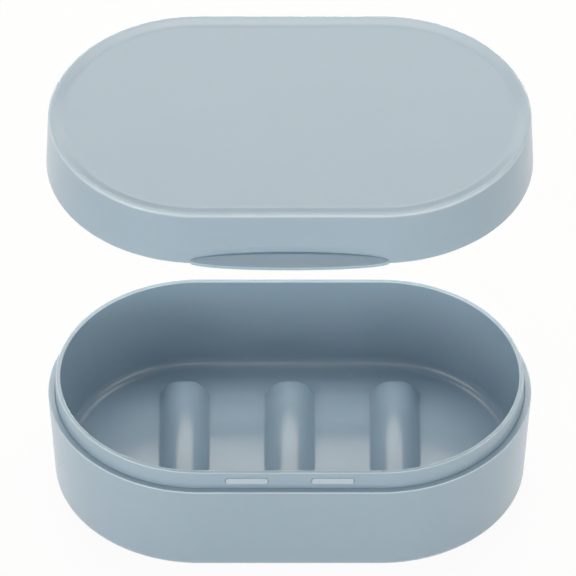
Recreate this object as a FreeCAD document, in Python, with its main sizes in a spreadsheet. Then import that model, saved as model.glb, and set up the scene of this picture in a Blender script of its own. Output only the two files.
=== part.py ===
"""Travel soap box: a deep oblong tray with a ribbed floor, and a lift-off lid shown raised above it.

Millimetres, +Z up. The origin is the middle of the tray's foot ring, on the surface it stands on.
X runs along the box, and -Y is the front, where the lid has its finger lip.
"""
import FreeCAD
import Part
import Sketcher
import math
import os

# Driving dimensions, in millimetres and degrees
SIZES = {
    # Plan of the whole box at the parting line, where the lid's skirt stands on the tray's ledge
    "box_length": 110.0,
    "box_width": 69.0,
    # Tray
    "ledge_height": 24.5,
    "rim_height": 4.5,
    "ledge_width": 1.6,
    "rim_wall": 1.0,
    "tray_draft": 4.0,
    "cavity_draft": 2.0,
    "ledge_edge_bevel": 0.4,
    "rim_edge_bevel": 0.3,
    "floor_wall": 1.7,
    "floor_radius": 2.4,
    # Foot ring that the tray stands on, with the floor's underside drawn up inside it
    "foot_height": 2.8,
    "foot_width": 0.8,
    "foot_radius": 2.5,
    # Ribs that hold the soap off the wet floor, hollow from below
    "rib_pitch": 24.0,
    "rib_width": 11.0,
    "rib_rise": 3.8,
    "rib_length": 43.0,
    "rib_end_radius": 1.2,
    "rib_end_gap": 0.2,
    # Beads on the rim that hold the closed lid
    "bead_spacing": 19.5,
    "bead_length": 9.5,
    "bead_height": 1.2,
    "bead_level": 2.2,
    # Lid
    "lid_height": 14.0,
    "lid_draft": 2.0,
    "lid_top_wall": 1.5,
    "lid_edge_radius": 1.0,
    "lid_corner_radius": 1.5,
    "dish_border": 1.6,
    "dish_slope": 3.0,
    "dish_depth": 0.5,
    # Crescent lip that a finger lifts the lid by: a thin edge under a slope that runs up the skirt
    "lip_chord": 44.8,
    "lip_reach": 2.4,
    "lip_thickness": 0.8,
    "lip_height": 2.8,
    "lip_edge_bevel": 0.35,
    # Clearances and the height the lid is lifted to
    "skirt_clearance": 0.4,
    "bead_clearance": 0.12,
    "lid_lift": 70.0,
}

RIB_PLACES = (-1, 0, 1)
LEVEL_TOLERANCE = 0.001

# Sizes that several features share, worked out from the driving ones
STRAIGHT = "Sizes.box_length - Sizes.box_width"
HALF_WIDTH = "Sizes.box_width / 2"
RIM_TOP = "Sizes.ledge_height + Sizes.rim_height"
CAVITY_INSET = "Sizes.ledge_width + Sizes.rim_height * tan(Sizes.lid_draft) + Sizes.rim_wall"
FLOOR_LEVEL = "Sizes.foot_height + Sizes.floor_wall"
FLOOR_DEPTH = f"{RIM_TOP} - ({FLOOR_LEVEL})"
FLOOR_SIDE = f"{HALF_WIDTH} - ({CAVITY_INSET}) - ({FLOOR_DEPTH}) * tan(Sizes.cavity_draft)"
FLOOR_ROOM = f"{FLOOR_SIDE} - Sizes.rib_length / 2 - Sizes.rib_end_gap"
FLOOR_ROUND = f"min(Sizes.floor_radius; ({FLOOR_ROOM}) / tan(45 - Sizes.cavity_draft / 2))"
FOOT_INSET = "Sizes.ledge_height * tan(Sizes.tray_draft)"
RECESS_INSET = f"{FOOT_INSET} + Sizes.foot_radius * tan(45 - Sizes.tray_draft / 2) + Sizes.foot_width"
SKIRT_INSET = "Sizes.ledge_width - Sizes.skirt_clearance"
LID_TOP_INSET = "Sizes.lid_height * tan(Sizes.lid_draft)"
BEAD_FACE = "Sizes.box_width / 2 - Sizes.ledge_width - Sizes.bead_level * tan(Sizes.lid_draft)"
BEAD_REACH = "Sizes.skirt_clearance - Sizes.bead_clearance"
LIP_ROOT = f"({SKIRT_INSET}) / 2"
LIP_RADIUS = "(Sizes.lip_chord ^ 2 / 4 + Sizes.lip_reach ^ 2) / (2 * Sizes.lip_reach)"
LIP_FOOT = f"sqrt(({LIP_RADIUS}) ^ 2 - ({LIP_RADIUS} - Sizes.lip_reach - {LIP_ROOT}) ^ 2)"
LIP_SINK = f"{LIP_ROOT} / 2"
LIP_SLOPE = "(Sizes.lip_height - Sizes.lip_thickness) / Sizes.lip_reach"
LIP_TOP = f"Sizes.lip_height + {LIP_SINK} * {LIP_SLOPE}"

doc = FreeCAD.newDocument("travel_soap_box")
sheet = doc.addObject("Spreadsheet::Sheet", "Sizes")
for row, (alias, value) in enumerate(SIZES.items(), start=1):
    sheet.set(f"A{row}", alias)
    sheet.set(f"B{row}", str(value))
    sheet.setAlias(f"B{row}", alias)
doc.recompute()


def evaluate(expression):
    """Value of an expression over the sheet's sizes, as a plain number."""
    result = sheet.evalExpression(expression)
    return float(getattr(result, "Value", result))


def new_body(label):
    body = doc.addObject("PartDesign::Body", label)
    body.Label = label
    return body


def new_sketch(body, name, plane, level):
    """Sketch on one of the body's own origin planes, moved along its normal by the level."""
    sketch = body.newObject("Sketcher::SketchObject", name)
    origin_plane = next(item for item in body.Origin.OriginFeatures if item.Role == plane)
    sketch.AttachmentSupport = [(origin_plane, "")]
    sketch.MapMode = "FlatFace"
    sketch.setExpression("AttachmentOffset.Base.z", level)
    return sketch


def constrain(sketch, name, expression, *constraint):
    """Adds a dimension with a name and ties it to the sheet."""
    index = sketch.addConstraint(Sketcher.Constraint(*constraint, evaluate(expression)))
    sketch.renameConstraint(index, name)
    sketch.setExpression(f"Constraints.{name}", expression)


def draw_slot(sketch, name, centre, straight, radius):
    """Oblong with half-round ends on the sketch's X axis, about a point at the signed centre."""
    middle = evaluate(centre)
    reach = evaluate(straight) / 2
    end = evaluate(radius)
    vector = FreeCAD.Vector
    up = vector(0, 0, 1)
    left = vector(middle - reach, 0, 0)
    right = vector(middle + reach, 0, 0)
    drop = vector(0, end, 0)
    quarter = math.pi / 2
    low = sketch.addGeometry(Part.LineSegment(left - drop, right - drop))
    far = sketch.addGeometry(Part.ArcOfCircle(Part.Circle(right, up, end), -quarter, quarter))
    high = sketch.addGeometry(Part.LineSegment(right + drop, left + drop))
    near = sketch.addGeometry(Part.ArcOfCircle(Part.Circle(left, up, end), quarter, 3 * quarter))
    ring = (low, far, high, near)
    for this, following in zip(ring, ring[1:] + ring[:1]):
        sketch.addConstraint(Sketcher.Constraint("Tangent", this, 2, following, 1))
    for arc in (far, near):
        sketch.addConstraint(Sketcher.Constraint("PointOnObject", arc, 3, -1))
    constrain(sketch, f"{name}_radius", radius, "Radius", far)
    constrain(sketch, f"{name}_straight", straight, "DistanceX", near, 3, far, 3)
    if middle < 0:
        constrain(sketch, f"{name}_place", f"({straight}) / 2 - ({centre})", "DistanceX", near, 3, -1, 1)
    else:
        constrain(sketch, f"{name}_place", f"({centre}) + ({straight}) / 2", "DistanceX", -1, 1, far, 3)


def box_outline(body, name, level, inset):
    """The box's plan outline, at a level above the body's XY plane, drawn in by the inset."""
    sketch = new_sketch(body, name, "XY_Plane", level)
    draw_slot(sketch, "outline", "0", STRAIGHT, f"{HALF_WIDTH} - ({inset})")
    return sketch


def extrude(body, kind, name, sketch, length, draft="0", reverse=False, both_ways=False):
    """Pad or pocket of a sketch; a positive draft narrows it away from the sketch."""
    feature = body.newObject(f"PartDesign::{kind}", name)
    feature.Profile = sketch
    feature.setExpression("Length", length)
    feature.setExpression("TaperAngle", f"-({draft})")
    feature.Reversed = reverse
    feature.Midplane = both_ways
    doc.recompute()
    return feature


def cut(body, name, sketch, length, **options):
    """Pocket that must take material away."""
    before = body.Shape.Volume
    feature = extrude(body, "Pocket", name, sketch, length, **options)
    if body.Shape.Volume >= before:
        raise RuntimeError(f"{name} cut nothing")
    return feature


def level_edges(shape, level, half_width):
    """Edges that lie flat at a level and reach just as far to one side as the half width."""
    height = evaluate(level)
    side = evaluate(half_width)
    names = []
    for index, edge in enumerate(shape.Edges, start=1):
        box = edge.BoundBox
        reach = max(abs(box.YMin), abs(box.YMax))
        flat = max(abs(box.ZMin - height), abs(box.ZMax - height)) < LEVEL_TOLERANCE
        if flat and abs(reach - side) < LEVEL_TOLERANCE:
            names.append(f"Edge{index}")
    return names


def dress_edges(body, kind, name, edges, size):
    """Fillet or chamfer over the named edges of the body's latest feature."""
    if not edges:
        raise RuntimeError(f"{name} found no edge")
    base = body.Tip
    feature = body.newObject(f"PartDesign::{kind}", name)
    feature.Base = (base, edges)
    feature.setExpression("Radius" if kind == "Fillet" else "Size", size)
    doc.recompute()
    return feature


def tray_shell(body):
    """Drafted tray with its ledge and thin rim, the soap space, and the recess under its floor."""
    ledge = box_outline(body, "ledge_outline", "Sizes.ledge_height", "0")
    extrude(body, "Pad", "tray_block", ledge, "Sizes.ledge_height", draft="Sizes.tray_draft", reverse=True)
    rim = box_outline(body, "rim_outline", "Sizes.ledge_height", "Sizes.ledge_width")
    extrude(body, "Pad", "rim_block", rim, "Sizes.rim_height", draft="Sizes.lid_draft")
    mouth = box_outline(body, "mouth_outline", RIM_TOP, CAVITY_INSET)
    cut(body, "soap_space", mouth, FLOOR_DEPTH, draft="Sizes.cavity_draft")
    recess = box_outline(body, "foot_recess_outline", "0", RECESS_INSET)
    cut(body, "foot_recess", recess, "Sizes.foot_height", draft="Sizes.tray_draft", reverse=True)


def dress_tray(body):
    """Moulded radii of the tray's foot and floor, and bevels on the edges of its ledge and rim.

    The floor's radius ends short of the ribs, by the gap that keeps a flat strip at their ends.
    """
    foot = f"{HALF_WIDTH} - {FOOT_INSET}"
    rim_outside = f"{HALF_WIDTH} - Sizes.ledge_width - Sizes.rim_height * tan(Sizes.lid_draft)"
    rim_inside = f"{HALF_WIDTH} - ({CAVITY_INSET})"
    edges = (
        ("Fillet", "foot_round", "0", foot, "Sizes.foot_radius"),
        ("Fillet", "floor_round", FLOOR_LEVEL, FLOOR_SIDE, FLOOR_ROUND),
        ("Chamfer", "ledge_edge_bevel", "Sizes.ledge_height", HALF_WIDTH, "Sizes.ledge_edge_bevel"),
        ("Chamfer", "rim_outer_bevel", RIM_TOP, rim_outside, "Sizes.rim_edge_bevel"),
        ("Chamfer", "rim_inner_bevel", RIM_TOP, rim_inside, "Sizes.rim_edge_bevel"),
    )
    for kind, name, level, half_width, size in edges:
        dress_edges(body, kind, name, level_edges(body.Shape, level, half_width), size)


def draw_arch(sketch, half_width, rise, depth):
    """Closed section with an arched top over a short straight foot, both about the sketch's Y axis."""
    side = evaluate(half_width)
    top = evaluate(rise)
    foot = evaluate(depth)
    vector = FreeCAD.Vector
    arch = sketch.addGeometry(Part.Arc(vector(side, 0, 0), vector(0, top, 0), vector(-side, 0, 0)))
    left = sketch.addGeometry(Part.LineSegment(vector(-side, 0, 0), vector(-side, -foot, 0)))
    low = sketch.addGeometry(Part.LineSegment(vector(-side, -foot, 0), vector(side, -foot, 0)))
    right = sketch.addGeometry(Part.LineSegment(vector(side, -foot, 0), vector(side, 0, 0)))
    crown = sketch.addGeometry(Part.Point(vector(0, top, 0)), True)
    ring = (arch, left, low, right)
    for this, following in zip(ring, ring[1:] + ring[:1]):
        sketch.addConstraint(Sketcher.Constraint("Coincident", this, 2, following, 1))
    sketch.addConstraint(Sketcher.Constraint("Vertical", left))
    sketch.addConstraint(Sketcher.Constraint("Horizontal", low))
    sketch.addConstraint(Sketcher.Constraint("Vertical", right))
    sketch.addConstraint(Sketcher.Constraint("PointOnObject", arch, 1, -1))
    sketch.addConstraint(Sketcher.Constraint("Symmetric", arch, 1, arch, 2, -1, 1))
    sketch.addConstraint(Sketcher.Constraint("PointOnObject", crown, 1, -2))
    sketch.addConstraint(Sketcher.Constraint("PointOnObject", crown, 1, arch))
    constrain(sketch, "half_width", half_width, "DistanceX", -1, 1, arch, 1)
    constrain(sketch, "depth", depth, "DistanceY", right, 1, right, 2)
    constrain(sketch, "rise", rise, "DistanceY", -1, 1, crown, 1)


def rib_section(body, name, place, level, half_width, depth):
    """Section of one rib, or of the hollow under it, with its foot at a level."""
    sketch = new_sketch(body, name, "XZ_Plane", "0")
    sketch.setExpression("AttachmentOffset.Base.x", f"{place} * Sizes.rib_pitch")
    sketch.setExpression("AttachmentOffset.Base.y", level)
    draw_arch(sketch, half_width, "Sizes.rib_rise", depth)
    return sketch


def rib_end_edges(shape):
    """Arched edges at both ends of every rib."""
    end = evaluate("Sizes.rib_length / 2")
    crown = evaluate(f"{FLOOR_LEVEL} + Sizes.rib_rise")
    names = []
    for index, edge in enumerate(shape.Edges, start=1):
        box = edge.BoundBox
        at_end = box.YLength < LEVEL_TOLERANCE and abs(abs(box.YMin) - end) < LEVEL_TOLERANCE
        if at_end and abs(box.ZMax - crown) < LEVEL_TOLERANCE:
            names.append(f"Edge{index}")
    return names


def ribs(body):
    """Half-round ribs across the floor, with rounded ends."""
    for place in RIB_PLACES:
        label = f"rib_{place + 2}"
        half_width = "Sizes.rib_width / 2"
        root = "Sizes.floor_wall / 2"
        section = rib_section(body, f"{label}_section", place, FLOOR_LEVEL, half_width, root)
        extrude(body, "Pad", label, section, "Sizes.rib_length", both_ways=True)
    dress_edges(body, "Fillet", "rib_end_round", rib_end_edges(body.Shape), "Sizes.rib_end_radius")


def rib_hollows(body):
    """Hollow under each rib, open to the recess under the floor."""
    for place in RIB_PLACES:
        label = f"rib_hollow_{place + 2}"
        half_width = "Sizes.rib_width / 2 - Sizes.floor_wall"
        depth = "Sizes.foot_height / 2"
        section = rib_section(body, f"{label}_section", place, "Sizes.foot_height", half_width, depth)
        cut(body, label, section, "Sizes.rib_length - 2 * Sizes.floor_wall", both_ways=True)


def beads(body):
    """Two moulded beads on the front of the rim and two on the rear, which hold the closed lid."""
    root = "Sizes.rim_wall / 2"
    sketch = new_sketch(body, "bead_outlines", "XZ_Plane", f"{BEAD_FACE} - {root}")
    sketch.setExpression("AttachmentOffset.Base.y", "Sizes.ledge_height + Sizes.bead_level")
    straight = "Sizes.bead_length - Sizes.bead_height"
    for name, centre in (("left", "-Sizes.bead_spacing / 2"), ("right", "Sizes.bead_spacing / 2")):
        draw_slot(sketch, name, centre, straight, "Sizes.bead_height / 2")
    front = extrude(body, "Pad", "front_beads", sketch, f"{root} + {BEAD_REACH}")
    rear = body.newObject("PartDesign::Mirrored", "rear_beads")
    rear.Originals = [front]
    side_plane = next(item for item in body.Origin.OriginFeatures if item.Role == "XZ_Plane")
    rear.MirrorPlane = (side_plane, [""])
    body.Tip = rear
    doc.recompute()


def lid_shell(body):
    """Drafted lid with a shallow dish in its top, hollow from below to fit over the tray's rim."""
    skirt = box_outline(body, "skirt_outline", "0", "0")
    extrude(body, "Pad", "lid_block", skirt, "Sizes.lid_height", draft="Sizes.lid_draft")
    opening = box_outline(body, "opening_outline", "0", SKIRT_INSET)
    depth = "Sizes.lid_height - Sizes.lid_top_wall - Sizes.dish_depth"
    cut(body, "lid_space", opening, depth, draft="Sizes.lid_draft", reverse=True)
    border = f"{LID_TOP_INSET} + Sizes.dish_border"
    brim = box_outline(body, "dish_brim", "Sizes.lid_height", border)
    bed = box_outline(body, "dish_bed", "Sizes.lid_height - Sizes.dish_depth", f"{border} + Sizes.dish_slope")
    before = body.Shape.Volume
    dish = body.newObject("PartDesign::SubtractiveLoft", "top_dish")
    dish.Profile = brim
    dish.Sections = [bed]
    dish.Ruled = True
    doc.recompute()
    if body.Shape.Volume >= before:
        raise RuntimeError("top_dish cut nothing")


def lip_outline(body, name, level, reach):
    """The lip's outline at a level: an arc that reaches out from the skirt and runs on into its wall."""
    sketch = new_sketch(body, name, "XY_Plane", level)
    sketch.AttachmentOffset = FreeCAD.Placement(FreeCAD.Vector(), FreeCAD.Rotation(180, 0, 0))
    sketch.setExpression("AttachmentOffset.Base.y", f"{LIP_ROOT} - {HALF_WIDTH}")
    draw_arch(sketch, LIP_FOOT, f"{reach} + {LIP_ROOT}", LIP_SINK)
    return sketch


def finger_lip(body):
    """Crescent lip at the front of the skirt's foot, bevelled below, whose slope dies out in the wall."""
    outlines = (
        lip_outline(body, "lip_foot", "0", "Sizes.lip_reach - Sizes.lip_edge_bevel"),
        lip_outline(body, "lip_edge_low", "Sizes.lip_edge_bevel", "Sizes.lip_reach"),
        lip_outline(body, "lip_edge_high", "Sizes.lip_thickness", "Sizes.lip_reach"),
        lip_outline(body, "lip_top", LIP_TOP, f"-{LIP_SINK}"),
    )
    lip = body.newObject("PartDesign::AdditiveLoft", "finger_lip")
    lip.Profile = outlines[0]
    lip.Sections = outlines[1:]
    lip.Ruled = True
    doc.recompute()


def dress_lid(body):
    """Moulded radii of the lid's top edge and inner corner."""
    top = f"{HALF_WIDTH} - ({LID_TOP_INSET})"
    depth = "Sizes.lid_height - Sizes.lid_top_wall - Sizes.dish_depth"
    inside = f"{HALF_WIDTH} - ({SKIRT_INSET}) - ({depth}) * tan(Sizes.lid_draft)"
    rounds = (
        ("inner_corner_round", depth, inside, "Sizes.lid_corner_radius"),
        ("lid_edge_round", "Sizes.lid_height", top, "Sizes.lid_edge_radius"),
    )
    for name, level, half_width, radius in rounds:
        dress_edges(body, "Fillet", name, level_edges(body.Shape, level, half_width), radius)


def make_tray():
    body = new_body("base_tray")
    tray_shell(body)
    ribs(body)
    dress_tray(body)
    rib_hollows(body)
    beads(body)


def make_lid():
    body = new_body("lid")
    lid_shell(body)
    finger_lip(body)
    dress_lid(body)
    body.setExpression("Placement.Base.z", "Sizes.ledge_height + Sizes.lid_lift")


make_tray()
make_lid()
doc.recompute()

for item in doc.Objects:
    faults = {"Invalid", "Error"}.intersection(item.State)
    if faults:
        raise RuntimeError(f"{item.Label} failed: {faults}")

os.makedirs("parts", exist_ok=True)
for body in doc.findObjects("PartDesign::Body"):
    shape = body.Shape
    if shape.isNull() or not shape.isValid() or len(shape.Solids) != 1:
        raise RuntimeError(f"{body.Label} is not one sound solid")
    shape.exportStep(f"parts/{body.Label}.step")
    print(body.Label, round(shape.Volume, 1), "mm3", len(shape.Faces), "faces")
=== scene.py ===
"""Looks of a travel soap box: a satin moulded tray with a ribbed floor, under its lifted lid.

Section sizes are in millimetres, as the moulding was measured, and meshes are in metres.
The frame has +Z up and the front of the box at -Y. An inset is measured in from the box's side.
"""
import bmesh
import bpy
import cmath
import math
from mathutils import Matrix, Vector


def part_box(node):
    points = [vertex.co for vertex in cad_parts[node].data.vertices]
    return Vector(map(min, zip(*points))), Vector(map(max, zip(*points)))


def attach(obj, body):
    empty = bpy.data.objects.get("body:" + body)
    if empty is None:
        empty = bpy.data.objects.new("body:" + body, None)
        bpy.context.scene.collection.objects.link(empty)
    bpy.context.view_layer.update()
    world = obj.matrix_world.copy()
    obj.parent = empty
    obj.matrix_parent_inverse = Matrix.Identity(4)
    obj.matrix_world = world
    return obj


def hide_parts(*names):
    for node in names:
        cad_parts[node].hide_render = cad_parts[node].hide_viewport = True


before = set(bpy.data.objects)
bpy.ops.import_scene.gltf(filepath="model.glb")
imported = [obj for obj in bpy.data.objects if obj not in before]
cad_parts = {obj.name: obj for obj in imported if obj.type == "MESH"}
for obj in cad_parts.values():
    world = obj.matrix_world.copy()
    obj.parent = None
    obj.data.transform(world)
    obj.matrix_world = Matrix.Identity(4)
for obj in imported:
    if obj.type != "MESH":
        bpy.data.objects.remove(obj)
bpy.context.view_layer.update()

MM = 0.001

# Plan of the box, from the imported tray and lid
tray_low, tray_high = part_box("base_tray")
lid_low, lid_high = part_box("lid")
BOX_LENGTH = (tray_high.x - tray_low.x) / MM
BOX_WIDTH = (tray_high.y - tray_low.y) / MM
HALF_WIDTH = BOX_WIDTH / 2
HALF_STRAIGHT = (BOX_LENGTH - BOX_WIDTH) / 2
END_ARC = math.pi * HALF_WIDTH
HALF_ROUND = 2 * HALF_STRAIGHT + END_ARC
RIM_TOP = (tray_high.z - tray_low.z) / MM
LID_HEIGHT = (lid_high.z - lid_low.z) / MM
LID_BASE = lid_low.z / MM

# Steps of the meshes round the plan and round the edges
STRAIGHT_STEPS = 32
END_STEPS = 72
EDGE_STEPS = 6
CORNER_STEPS = 12
JOIN_DISTANCE = 1e-7
SHARP_ANGLE = math.radians(50)
TINY = 1e-6

# Painted highlight: outer edges with a radius in this range are painted lighter as a highlight, fully so
# from this turn on
HIGHLIGHT_NAME = "painted_edge_highlight"
HIGHLIGHTED_RADII = (0.2, 1.3)
HIGHLIGHTED_TURN = math.radians(70)

# Tray
RIM_HEIGHT = 4.5
LEDGE_HEIGHT = RIM_TOP - RIM_HEIGHT
LEDGE_WIDTH = 1.6
RIM_WALL = 1.0
FLOOR_WALL = 1.7
FOOT_HEIGHT = 2.8
FOOT_WIDTH = 0.8
FLOOR_LEVEL = FOOT_HEIGHT + FLOOR_WALL
TRAY_DRAFT = math.radians(4)
CAVITY_DRAFT = math.radians(2)
LID_DRAFT = math.radians(2)
FLOOR_RADIUS = 2.4
FOOT_RADIUS = 2.5
FOOT_EDGE_RADIUS = 0.3
RECESS_RADIUS = 0.6
LEDGE_EDGE_RADIUS = 0.28
RIM_EDGE_RADIUS = 0.25
RIM_ROOT_RADIUS = 0.05
RIM_ROOT_GROOVE = 0.18
FLAT_STRIP = 0.4
RIM_INSET = LEDGE_WIDTH + RIM_HEIGHT * math.tan(LID_DRAFT)
CAVITY_INSET = RIM_INSET + RIM_WALL
FLOOR_INSET = CAVITY_INSET + (RIM_TOP - FLOOR_LEVEL) * math.tan(CAVITY_DRAFT)
FOOT_INSET = LEDGE_HEIGHT * math.tan(TRAY_DRAFT)
RECESS_INSET = FOOT_INSET + FOOT_RADIUS * math.tan(math.pi / 4 - TRAY_DRAFT / 2) + FOOT_WIDTH

# Ribs on the tray's floor and the hollows under them
RIB_PITCH = 24.0
RIB_PLACES = (-1, 0, 1)
RIB_WIDTH = 11.0
RIB_RISE = 3.8
RIB_LENGTH = 43.0
RIB_ROOT_RADIUS = 0.8
RIB_END_RADIUS = 1.2
RIB_CORNER_RADIUS = 1.2
HOLLOW_EDGE_RADIUS = 0.3
HOLLOW_END_RADIUS = 0.8
ROOT_STEPS = 6
ARCH_STEPS = 18
SIDE_STEPS = 20
RIB_END_STEPS = 8

# Beads on the rim, which stand out further at their lower side, each with a fine groove round it
BEAD_SPACING = 19.5
BEAD_LENGTH = 9.5
BEAD_HEIGHT = 1.2
BEAD_LEVEL = 2.2
BEAD_REACH = 0.2
BEAD_LEAN = 0.98
BEAD_EDGE_RADIUS = 0.08
BEAD_GROOVE_WIDTH = 0.3
BEAD_GROOVE_DEPTH = 0.2
# Strength of the highlight painted on the bead's raised face
BEAD_HIGHLIGHT = 0.45
BEAD_END_STEPS = 10

# Lid
LID_TOP_WALL = 1.5
LID_EDGE_RADIUS = 1.1
LID_CORNER_RADIUS = 1.5
SKIRT_WALL = 1.2
SKIRT_EDGE_RADIUS = 0.25
DISH_BORDER = 1.2
DISH_SLOPE = 2.0
DISH_DEPTH = 0.4
DISH_BED_RADIUS = 6.0
DISH_BRIM_RADIUS = 0.8
LID_TOP_INSET = LID_HEIGHT * math.tan(LID_DRAFT)

# Finger lip, the groove along its top and the shallow scoop in the skirt over it
LIP_CHORD = 44.8
LIP_REACH = 2.4
LIP_THICKNESS = 0.8
LIP_HEIGHT = 2.8
LIP_EDGE_RADIUS = 0.3
LIP_STEPS = 64
GROOVE_DEPTH = 0.5
GROOVE_HEIGHT = 0.36
GROOVE_RADIUS = 0.05
SCOOP_HEIGHT = 2.6
SCOOP_DEPTH = 0.4
SCOOP_RADIUS = 8.0


def round_corner(before, corner, after, room, radius, steps):
    """Arc in place of a section's corner, as (point, painted highlight); a radius too large for its room is
    reduced.
    """
    back = before - corner
    ahead = after - corner
    turn = cmath.phase(-ahead / back) if room > TINY else 0.0
    if abs(turn) < TINY:
        return [(corner, 0.0)] * (steps + 1)
    half_tangent = math.tan(abs(turn) / 2)
    reach = min(radius * half_tangent, room)
    way = back / abs(back)
    start = corner + way * reach
    centre = start - way * 1j * math.copysign(reach / half_tangent, turn)
    least, most = HIGHLIGHTED_RADII
    # Painted highlight along convex edges of the right radius, strongest in the middle of the arc
    sharpness = min(max(turn / HIGHLIGHTED_TURN, 0.0), 1.0) if least < radius < most else 0.0
    arc = []
    for step in range(steps + 1):
        point = centre + (start - centre) * cmath.rect(1, turn * step / steps)
        arc.append((point, (sharpness * math.sin(math.pi * step / steps)) ** 2))
    return arc


def section(corners):
    """Points of a section through corners of (inset, height, radius, steps), each with the strength of the
    highlight painted on it.

    The two ends are plain points, without a radius. Two corners share the side between them in the
    ratio of their radii, so their arcs never overlap.
    """
    places = [complex(*corner[:2]) for corner in corners]
    radii = [0.0] + [corner[2] for corner in corners[1:-1]] + [0.0]
    points = [(places[0], 0.0)]
    for index in range(1, len(corners) - 1):
        rooms = []
        for beside in (index - 1, index + 1):
            share = radii[index] / (radii[index] + radii[beside])
            rooms.append(share * abs(places[beside] - places[index]))
        points += round_corner(*places[index - 1:index + 2], min(rooms), *corners[index][2:])
    points.append((places[-1], 0.0))
    return points


def column_at(distance):
    """Column of the plan, as a centre on the X axis and an outward direction.

    The distance runs along the box's outline, from the middle of the front towards +X.
    """
    place = (distance + HALF_STRAIGHT) % (2 * HALF_ROUND)
    side = 1 if place < HALF_ROUND else -1
    along = place % HALF_ROUND
    if along < 2 * HALF_STRAIGHT:
        return side * (along - HALF_STRAIGHT), Vector((0, -side))
    angle = (along - 2 * HALF_STRAIGHT) / HALF_WIDTH - math.pi / 2
    return side * HALF_STRAIGHT, side * Vector((math.cos(angle), math.sin(angle)))


def spread(start, end, steps):
    """Evenly spread distances from a start up to an end, without the end."""
    return [start + (end - start) * step / steps for step in range(steps)]


def tray_distances():
    """Distances of the tray's columns, with the front and rear straights first in each half."""
    distances = []
    for start in (-HALF_STRAIGHT, HALF_ROUND - HALF_STRAIGHT):
        distances += spread(start, start + 2 * HALF_STRAIGHT, STRAIGHT_STEPS)
        distances += spread(start + 2 * HALF_STRAIGHT, start + HALF_ROUND, END_STEPS)
    return distances


def lid_distances():
    """Distances of the lid's columns, which crowd together towards the two ends of the lip."""
    lip_end = LIP_CHORD / 2
    rear = HALF_ROUND - HALF_STRAIGHT
    distances = [-lip_end * math.cos(math.pi * step / LIP_STEPS) for step in range(LIP_STEPS)]
    distances += spread(lip_end, rear, END_STEPS)
    distances += spread(rear, rear + 2 * HALF_STRAIGHT, STRAIGHT_STEPS)
    distances += spread(rear + 2 * HALF_STRAIGHT, 2 * HALF_ROUND - lip_end, END_STEPS)
    return distances


def new_mesh():
    """Empty mesh whose vertices say how strongly a highlight is painted there, from 0 to 1."""
    mesh = bmesh.new()
    mesh.verts.layers.float.new(HIGHLIGHT_NAME)
    return mesh


def sweep(mesh, distances, sections, base):
    """Rings of vertices along the outline, one for each point of the sections."""
    highlight_layer = mesh.verts.layers.float[HIGHLIGHT_NAME]
    grid = []
    for distance, points in zip(distances, sections):
        centre, outward = column_at(distance)
        line = []
        for point, highlight in points:
            reach = HALF_WIDTH - point.real
            place = Vector((centre + reach * outward.x, reach * outward.y, base + point.imag))
            vertex = mesh.verts.new(place * MM)
            # Strength of the painted highlight at this vertex
            vertex[highlight_layer] = highlight
            line.append(vertex)
        grid.append(line)
    return [list(ring) for ring in zip(*grid)]


def join_rings(mesh, rings, skip=()):
    """Quads between neighbouring closed rings, apart from the (ring, place) pairs to skip."""
    for level, (ring, following) in enumerate(zip(rings, rings[1:])):
        count = len(ring)
        for place in range(count):
            if (level, place) in skip:
                continue
            beside = (place + 1) % count
            mesh.faces.new((ring[place], ring[beside], following[beside], following[place]))


def ring_edges(mesh, ring):
    """Edges round a closed ring of vertices, made where they are missing."""
    edges = []
    for start, end in zip(ring, ring[1:] + ring[:1]):
        edges.append(mesh.edges.get((start, end)) or mesh.edges.new((start, end)))
    return edges


def fill_flat(mesh, outer, holes, normal):
    """Flat face inside a ring, with holes where other rings start."""
    edges = [edge for ring in (outer, *holes) for edge in ring_edges(mesh, ring)]
    bmesh.ops.triangle_fill(mesh, edges=edges, use_beauty=True, normal=normal)


def arch_levels(half_width, rise, half_length, root_radius, end_radius):
    """Levels of a rib from its root to its crown, each as (half width, half length, height, flare)."""
    arch_radius = (half_width ** 2 + rise ** 2) / (2 * rise)
    arch_drop = arch_radius - rise
    root_side = math.sqrt((arch_radius + root_radius) ** 2 - (root_radius + arch_drop) ** 2)
    meeting = math.atan2(root_radius + arch_drop, root_side)
    sides = []
    for step in range(ROOT_STEPS):
        angle = -math.pi / 2 - (math.pi / 2 - meeting) * step / ROOT_STEPS
        sides.append((root_side + root_radius * math.cos(angle), root_radius * (1 + math.sin(angle))))
    for step in range(ARCH_STEPS + 1):
        angle = meeting + (math.pi / 2 - meeting) * step / ARCH_STEPS
        sides.append((arch_radius * math.cos(angle), arch_radius * math.sin(angle) - arch_drop))
    levels = []
    for side, height in sides:
        low = max(root_radius - height, 0)
        flare = root_radius - math.sqrt(root_radius ** 2 - low ** 2)
        high = min(max(height - (rise - end_radius), 0), end_radius)
        rounding = end_radius - math.sqrt(end_radius ** 2 - high ** 2)
        levels.append((side, half_length + flare - rounding, height, flare))
    return levels


def loaf_ring(half_width, half_length, corner):
    """Plan of one level of a rib: a rectangle with rounded corners, with a fixed count of points."""
    corner = min(corner, half_width)
    straight = half_length - corner
    across = half_width - corner
    points = []
    for turn in (0, math.pi):
        side = math.cos(turn)
        for step in range(SIDE_STEPS):
            points.append((side * half_width, side * straight * (2 * step / SIDE_STEPS - 1)))
        for step in range(CORNER_STEPS):
            angle = turn + math.pi / 2 * step / CORNER_STEPS
            x = side * across + corner * math.cos(angle)
            points.append((x, side * straight + corner * math.sin(angle)))
        for step in range(RIB_END_STEPS):
            points.append((side * across * (1 - 2 * step / RIB_END_STEPS), side * half_length))
        for step in range(CORNER_STEPS):
            angle = turn + math.pi / 2 * (1 + step / CORNER_STEPS)
            x = corner * math.cos(angle) - side * across
            points.append((x, side * straight + corner * math.sin(angle)))
    return points


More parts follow.
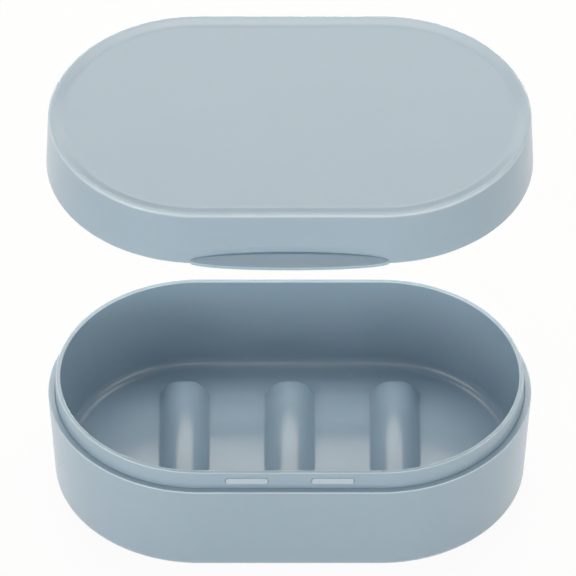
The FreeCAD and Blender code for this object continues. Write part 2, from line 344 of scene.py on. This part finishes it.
def loaf(mesh, middle, floor, levels, corner_radius):
    """Half-round rib, or hollow, that rises from a flat face; returns the ring at its root."""
    rings = []
    for half_width, half_length, height, flare in levels:
        ring = []
        for x, y in loaf_ring(half_width, half_length, corner_radius + flare):
            ring.append(mesh.verts.new(Vector((middle + x, y, floor + height)) * MM))
        rings.append(ring)
    join_rings(mesh, rings)
    return rings[0]


def tray_section():
    """Section of the tray's wall, from the floor up over the rim, down the ledge and round the foot ring."""
    recess_top = RECESS_INSET + FOOT_HEIGHT * math.tan(TRAY_DRAFT)
    return section((
        (FLOOR_INSET + FLOOR_RADIUS + FLAT_STRIP, FLOOR_LEVEL),
        (FLOOR_INSET, FLOOR_LEVEL, FLOOR_RADIUS, CORNER_STEPS),
        (CAVITY_INSET, RIM_TOP, RIM_EDGE_RADIUS, EDGE_STEPS),
        (RIM_INSET, RIM_TOP, RIM_EDGE_RADIUS, EDGE_STEPS),
        (LEDGE_WIDTH, LEDGE_HEIGHT - RIM_ROOT_GROOVE, RIM_ROOT_RADIUS, EDGE_STEPS),
        (LEDGE_WIDTH - RIM_ROOT_GROOVE, LEDGE_HEIGHT, RIM_ROOT_RADIUS, EDGE_STEPS),
        (0, LEDGE_HEIGHT, LEDGE_EDGE_RADIUS, EDGE_STEPS),
        (FOOT_INSET, 0, FOOT_RADIUS, CORNER_STEPS),
        (RECESS_INSET, 0, FOOT_EDGE_RADIUS, EDGE_STEPS),
        (recess_top, FOOT_HEIGHT, RECESS_RADIUS, EDGE_STEPS),
        (recess_top + RECESS_RADIUS + FLAT_STRIP, FOOT_HEIGHT),
    ))


# Strip of the tray's section that is the rim's outer face, counted from the floor
RIM_FACE = (CORNER_STEPS + 1) + 2 * (EDGE_STEPS + 1)

# Columns where the front and rear straights of the tray start
FRONT_START = 0
REAR_START = STRAIGHT_STEPS + END_STEPS


def bead_ring(mesh, middle, side, offset, height):
    """One contour of a bead, drawn in by the offset and raised by the height from the rim's face.

    Raised contours lean, so that the bead stands out further at its lower side, and carry a painted
    highlight.
    """
    straight = (BEAD_LENGTH - BEAD_HEIGHT) / 2
    radius = BEAD_HEIGHT / 2 - offset
    raised = height > 0
    lean = BEAD_LEAN if raised else 0.0
    # Raised contours get a painted highlight
    highlight = BEAD_HIGHLIGHT if raised else 0.0
    highlight_layer = mesh.verts.layers.float[HIGHLIGHT_NAME]
    ring = []
    for end, first_angle in ((1, -math.pi / 2), (-1, math.pi / 2)):
        for step in range(BEAD_END_STEPS + 1):
            angle = first_angle + math.pi * step / BEAD_END_STEPS
            x = middle + end * straight + radius * math.cos(angle)
            rise = radius * math.sin(angle)
            level = BEAD_LEVEL + rise
            stand = height * (1 - lean * rise / (BEAD_HEIGHT / 2))
            reach = HALF_WIDTH - LEDGE_WIDTH - level * math.tan(LID_DRAFT) + stand
            vertex = mesh.verts.new(Vector((x, side * reach, LEDGE_HEIGHT + level)) * MM)
            vertex[highlight_layer] = highlight
            ring.append(vertex)
    return ring


def bead(mesh, middle, side):
    """Rounded bead on the rim's front (side -1) or rear (side 1); returns the ring round its groove."""
    contours = [
        (-BEAD_GROOVE_WIDTH, 0.0),
        (-BEAD_GROOVE_WIDTH / 2, -BEAD_GROOVE_DEPTH),
        (0.0, -BEAD_GROOVE_DEPTH),
    ]
    for step in range(EDGE_STEPS + 1):
        angle = math.pi / 2 * step / EDGE_STEPS
        rise = BEAD_REACH - BEAD_EDGE_RADIUS * (1 - math.sin(angle))
        contours.append((BEAD_EDGE_RADIUS * (1 - math.cos(angle)), rise))
    rings = [bead_ring(mesh, middle, side, *contour) for contour in contours]
    join_rings(mesh, rings)
    fill_flat(mesh, rings[-1], (), (0, side, 0))
    return rings[0]


def rim_panels(mesh, rings):
    """Straight stretches of the rim's outer face, with the beads standing on them."""
    upper, lower = rings[RIM_FACE], rings[RIM_FACE + 1]
    for side, start in ((-1, FRONT_START), (1, REAR_START)):
        places = range(start, start + STRAIGHT_STEPS + 1)
        outer = [upper[place] for place in places] + [lower[place] for place in reversed(places)]
        beads = [bead(mesh, end * BEAD_SPACING / 2, side) for end in (-1, 1)]
        fill_flat(mesh, outer, beads, (0, side, math.tan(LID_DRAFT)))


def finish_mesh(mesh, name, material, body, node):
    """Closed mesh as a piece that rides on a body and stands for a node of the frame."""
    bmesh.ops.remove_doubles(mesh, verts=mesh.verts, dist=JOIN_DISTANCE)
    bmesh.ops.dissolve_degenerate(mesh, edges=mesh.edges, dist=JOIN_DISTANCE)
    bmesh.ops.recalc_face_normals(mesh, faces=mesh.faces)
    data = bpy.data.meshes.new(name)
    mesh.to_mesh(data)
    mesh.free()
    data.shade_smooth()
    data.set_sharp_from_angle(angle=SHARP_ANGLE)
    data.materials.append(material)
    piece = bpy.data.objects.new(name, data)
    bpy.context.scene.collection.objects.link(piece)
    flats = piece.modifiers.new("flat_faces_stay_flat", "WEIGHTED_NORMAL")
    flats.keep_sharp = True
    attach(piece, body)
    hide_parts(node)


def make_tray(material):
    """Tray with its floor, ribs, hollows, rim, beads, ledge and foot ring as one closed mesh."""
    mesh = new_mesh()
    distances = tray_distances()
    rings = sweep(mesh, distances, [tray_section()] * len(distances), 0)
    starts = (FRONT_START, REAR_START)
    panels = {(RIM_FACE, start + place) for start in starts for place in range(STRAIGHT_STEPS)}
    join_rings(mesh, rings, panels)
    rim_panels(mesh, rings)
    rib = arch_levels(RIB_WIDTH / 2, RIB_RISE, RIB_LENGTH / 2, RIB_ROOT_RADIUS, RIB_END_RADIUS)
    hollow_width = RIB_WIDTH / 2 - FLOOR_WALL
    hollow_length = RIB_LENGTH / 2 - FLOOR_WALL
    hollow = arch_levels(hollow_width, RIB_RISE, hollow_length, HOLLOW_EDGE_RADIUS, HOLLOW_END_RADIUS)
    places = [place * RIB_PITCH for place in RIB_PLACES]
    rib_roots = [loaf(mesh, place, FLOOR_LEVEL, rib, RIB_CORNER_RADIUS) for place in places]
    fill_flat(mesh, rings[0], rib_roots, (0, 0, 1))
    hollow_edges = [loaf(mesh, place, FOOT_HEIGHT, hollow, RIB_CORNER_RADIUS) for place in places]
    fill_flat(mesh, rings[-1], hollow_edges, (0, 0, -1))
    finish_mesh(mesh, "tray_shell", material, "tray", "base_tray")


def lip_share(distance):
    """Size of the finger lip at a column, from 0 beside the lip to 1 in its middle."""
    across = 2 * distance / LIP_CHORD
    return math.sqrt(max(1 - across ** 2, 0))


def lid_section(share):
    """Section of the lid: top panel, border, skirt, lip and inside, for a lip of this share of its size."""
    brim = LID_TOP_INSET + DISH_BORDER
    bed = LID_HEIGHT - DISH_DEPTH
    ceiling = bed - LID_TOP_WALL
    slant = math.tan(LID_DRAFT)
    corner_inset = SKIRT_WALL + ceiling * slant
    reach = LIP_REACH * share
    crease = LIP_THICKNESS + (LIP_HEIGHT - LIP_THICKNESS) * share
    scoop = crease + SCOOP_HEIGHT * share
    scoop_inset = crease * slant + SCOOP_DEPTH * share
    return section((
        (brim + 2 * DISH_SLOPE, bed),
        (brim + DISH_SLOPE, bed, DISH_BED_RADIUS, CORNER_STEPS),
        (brim, LID_HEIGHT, DISH_BRIM_RADIUS, CORNER_STEPS),
        (LID_TOP_INSET, LID_HEIGHT, LID_EDGE_RADIUS, CORNER_STEPS),
        (scoop * slant, scoop, SCOOP_RADIUS, EDGE_STEPS),
        (scoop_inset, crease + GROOVE_HEIGHT * share, GROOVE_RADIUS, EDGE_STEPS),
        (scoop_inset + GROOVE_DEPTH * share, crease, GROOVE_RADIUS, EDGE_STEPS),
        (crease * slant, crease, GROOVE_RADIUS, EDGE_STEPS),
        (LIP_THICKNESS * slant - reach, LIP_THICKNESS, LIP_EDGE_RADIUS, EDGE_STEPS),
        (-reach, 0, SKIRT_EDGE_RADIUS, EDGE_STEPS),
        (SKIRT_WALL, 0, SKIRT_EDGE_RADIUS, EDGE_STEPS),
        (corner_inset, ceiling, LID_CORNER_RADIUS, CORNER_STEPS),
        (corner_inset + LID_CORNER_RADIUS + FLAT_STRIP, ceiling),
    ))


def make_lid(material):
    """Lid with its dished top, skirt and finger lip as one closed mesh."""
    mesh = new_mesh()
    distances = lid_distances()
    sections = [lid_section(lip_share(distance)) for distance in distances]
    rings = sweep(mesh, distances, sections, LID_BASE)
    join_rings(mesh, rings)
    fill_flat(mesh, rings[0], (), (0, 0, 1))
    fill_flat(mesh, rings[-1], (), (0, 0, -1))
    finish_mesh(mesh, "lid_shell", material, "lid", "lid")


# Finish of the plastic: lengths of its patterns in metres, colours as linear values
PLASTIC_PALE = (0.322, 0.440, 0.542, 1)
PLASTIC_DEEP = (0.300, 0.416, 0.518, 1)
# Painted highlight: a pale colour laid on outer edges and bead faces, at a strength that the cloud pattern
# varies between these two shares
PAINTED_HIGHLIGHT = (0.68, 0.76, 0.83, 1)
HIGHLIGHT_LEAST = 0.55
HIGHLIGHT_MOST = 0.95
CLOUD_LENGTH = 0.022
CLOUD_DETAIL = 4.0
CLOUD_ROUGHNESS = 0.55
GRAIN_LENGTH = 0.00035
GRAIN_DETAIL = 2.0
GRAIN_ROUGHNESS = 0.5
SMOOTHEST = 0.285
ROUGHEST = 0.35
GRAIN_DEPTH = 0.000006
GRAIN_STRENGTH = 0.25
REFRACTION = 1.6
SKIN_SHARE = 0.35
SKIN_ROUGHNESS = 0.18
GLOW_SHARE = 0.7
GLOW_DEPTH = 0.0016
GLOW_RADII = (0.8, 1.1, 1.0)

# Sockets of a Mix node that mixes two colours
MIX_SHARE = 0
MIX_FIRST = 6
MIX_SECOND = 7
MIX_RESULT = 2


def add_node(material, kind, **values):
    """Node of a kind with the named inputs set."""
    node = material.node_tree.nodes.new(kind)
    for name, value in values.items():
        node.inputs[name.replace("_", " ")].default_value = value
    return node


def add_math(material, operation):
    """Math node that does one operation on two values."""
    node = add_node(material, "ShaderNodeMath")
    node.operation = operation
    return node


def add_colour_mix(material):
    """Mix node that mixes two colours."""
    node = add_node(material, "ShaderNodeMix")
    node.data_type = "RGBA"
    return node


def add_noise(material, length, detail, roughness):
    """Noise whose largest features have a length in metres."""
    kind = "ShaderNodeTexNoise"
    return add_node(material, kind, Scale=1 / length, Detail=detail, Roughness=roughness)


def moulded_plastic(name):
    """Satin moulded plastic: faintly clouded pigment, a highlight painted pale on edges, uneven sheen and a
    fine grain.
    """
    material = bpy.data.materials.new(name)
    material.use_nodes = True
    link = material.node_tree.links.new
    shader = material.node_tree.nodes["Principled BSDF"]
    place = add_node(material, "ShaderNodeTexCoord")
    cloud = add_noise(material, CLOUD_LENGTH, CLOUD_DETAIL, CLOUD_ROUGHNESS)
    pigment = add_colour_mix(material)
    pigment.inputs[MIX_FIRST].default_value = PLASTIC_DEEP
    pigment.inputs[MIX_SECOND].default_value = PLASTIC_PALE
    # Painted highlight: the mesh's highlight strength, varied by the cloud pattern, mixes the pale highlight
    # colour into the pigment
    edges = add_node(material, "ShaderNodeAttribute")
    edges.attribute_name = HIGHLIGHT_NAME
    patches = add_node(material, "ShaderNodeMapRange", To_Min=HIGHLIGHT_LEAST, To_Max=HIGHLIGHT_MOST)
    highlight = add_math(material, "MULTIPLY")
    highlight_mix = add_colour_mix(material)
    highlight_mix.inputs[MIX_SECOND].default_value = PAINTED_HIGHLIGHT
    grain = add_noise(material, GRAIN_LENGTH, GRAIN_DETAIL, GRAIN_ROUGHNESS)
    sheen = add_node(material, "ShaderNodeMapRange", To_Min=SMOOTHEST, To_Max=ROUGHEST)
    relief = add_node(material, "ShaderNodeBump", Strength=GRAIN_STRENGTH, Distance=GRAIN_DEPTH)
    for pattern in (cloud, grain):
        link(place.outputs["Object"], pattern.inputs["Vector"])
    link(cloud.outputs["Fac"], pigment.inputs[MIX_SHARE])
    link(cloud.outputs["Fac"], patches.inputs["Value"])
    link(edges.outputs["Fac"], highlight.inputs[0])
    link(patches.outputs["Result"], highlight.inputs[1])
    link(highlight.outputs[0], highlight_mix.inputs[MIX_SHARE])
    link(pigment.outputs[MIX_RESULT], highlight_mix.inputs[MIX_FIRST])
    link(highlight_mix.outputs[MIX_RESULT], shader.inputs["Base Color"])
    link(cloud.outputs["Fac"], sheen.inputs["Value"])
    link(sheen.outputs["Result"], shader.inputs["Roughness"])
    link(grain.outputs["Fac"], relief.inputs["Height"])
    link(relief.outputs["Normal"], shader.inputs["Normal"])
    shader.inputs["IOR"].default_value = REFRACTION
    shader.inputs["Coat Weight"].default_value = SKIN_SHARE
    shader.inputs["Coat Roughness"].default_value = SKIN_ROUGHNESS
    shader.inputs["Subsurface Weight"].default_value = GLOW_SHARE
    shader.inputs["Subsurface Scale"].default_value = GLOW_DEPTH
    shader.inputs["Subsurface Radius"].default_value = GLOW_RADII
    return material


# Floor: white to the camera and in reflections, and still shaded by what stands over it
WHITE = (1, 1, 1, 1)
FLOOR_COLOUR = (0.86, 0.86, 0.86, 1)
FLOOR_SIZE = 6.0
BACKGROUND_SHARE = 0.93


def floor_material():
    """White floor: shaded white, mixed with an even white for camera, glossy and transmission rays."""
    material = bpy.data.materials.new("white_floor")
    material.use_nodes = True
    nodes = material.node_tree.nodes
    nodes.remove(nodes["Principled BSDF"])
    link = material.node_tree.links.new
    shaded = add_node(material, "ShaderNodeBsdfDiffuse", Color=FLOOR_COLOUR)
    even = add_node(material, "ShaderNodeEmission", Color=WHITE, Strength=1.0)
    path = add_node(material, "ShaderNodeLightPath")
    seen = add_math(material, "MAXIMUM")
    passed = add_math(material, "MAXIMUM")
    share = add_math(material, "MULTIPLY")
    share.inputs[1].default_value = BACKGROUND_SHARE
    mix = add_node(material, "ShaderNodeMixShader")
    link(path.outputs["Is Camera Ray"], seen.inputs[0])
    link(path.outputs["Is Glossy Ray"], seen.inputs[1])
    link(seen.outputs[0], passed.inputs[0])
    link(path.outputs["Is Transmission Ray"], passed.inputs[1])
    link(passed.outputs[0], share.inputs[0])
    link(share.outputs[0], mix.inputs[0])
    link(shaded.outputs[0], mix.inputs[1])
    link(even.outputs[0], mix.inputs[2])
    link(mix.outputs[0], nodes["Material Output"].inputs["Surface"])
    return material


def make_floor():
    """Plain square floor under the box."""
    half = FLOOR_SIZE / 2
    corners = [(-half, -half, 0), (half, -half, 0), (half, half, 0), (-half, half, 0)]
    data = bpy.data.meshes.new("floor")
    data.from_pydata(corners, [], [(0, 1, 2, 3)])
    data.materials.append(floor_material())
    floor = bpy.data.objects.new("floor", data)
    bpy.context.scene.collection.objects.link(floor)


# Light: softboxes of (name, place, size, power), in metres of the frame and in watts
WORLD_LEVEL = 0.1
SOFTBOXES = (
    ("rear_top_softbox", (0.0, 0.42, 1.15), (1.40, 0.30), 6.2),
    ("rear_high_softbox", (0.0, 0.70, 1.10), (1.20, 0.25), 2.6),
    ("rear_low_softbox", (0.0, 1.00, 0.85), (1.20, 0.25), 3.4),
    ("rear_floor_strip", (0.0, 1.20, 0.14), (1.40, 0.12), 6.8),
    ("front_strip", (0.0, -0.86, 1.02), (1.00, 0.08), 1.5),
    ("front_floor_strip", (0.0, -1.20, 0.10), (1.60, 0.12), 2.2),
    ("left_softbox", (-0.76, -0.80, 0.22), (0.40, 0.20), 3.6),
    ("left_strip", (-0.86, -0.42, 0.66), (0.80, 0.12), 2.0),
    ("right_softbox", (0.72, -0.84, 0.22), (0.40, 0.20), 2.3),
    ("right_strip", (0.86, -0.42, 0.66), (0.80, 0.12), 1.6),
)
LAMP_COLOUR = (1.07, 1.0, 0.92)
LIGHT_AIM = Vector((0, 0, 0.03))


def make_light():
    """Even white surroundings and softboxes round the box."""
    world = bpy.data.worlds.new("surroundings")
    bpy.context.scene.world = world
    world.use_nodes = True
    background = world.node_tree.nodes["Background"]
    background.inputs["Strength"].default_value = WORLD_LEVEL
    background.inputs["Color"].default_value = WHITE
    for name, place, size, power in SOFTBOXES:
        data = bpy.data.lights.new(name, "AREA")
        data.shape = "RECTANGLE"
        data.size, data.size_y = size
        data.energy = power
        data.color = LAMP_COLOUR
        softbox = bpy.data.objects.new(name, data)
        softbox.location = place
        softbox.rotation_euler = (LIGHT_AIM - Vector(place)).to_track_quat("-Z", "Y").to_euler()
        bpy.context.scene.collection.objects.link(softbox)


# Camera: looks down at the box's front from a long way off
CAMERA_ELEVATION = math.radians(42.2)
CAMERA_DISTANCE = 5.97
CAMERA_LENS = 1646.0
CAMERA_AIM = Vector((-0.0004, 0, 0.0559))


def make_camera():
    """Camera in front of the box, looking down at the angle fitted to the photo."""
    data = bpy.data.cameras.new("camera")
    data.lens = CAMERA_LENS
    camera = bpy.data.objects.new("camera", data)
    away = Vector((0, -math.cos(CAMERA_ELEVATION), math.sin(CAMERA_ELEVATION)))
    camera.location = CAMERA_AIM + away * CAMERA_DISTANCE
    camera.rotation_euler = (-away).to_track_quat("-Z", "Y").to_euler()
    bpy.context.scene.collection.objects.link(camera)
    bpy.context.scene.camera = camera


make_tray(moulded_plastic("tray_satin_plastic"))
make_lid(moulded_plastic("lid_satin_plastic"))
make_floor()
make_light()
make_camera()
bpy.context.scene.view_settings.view_transform = "Standard"
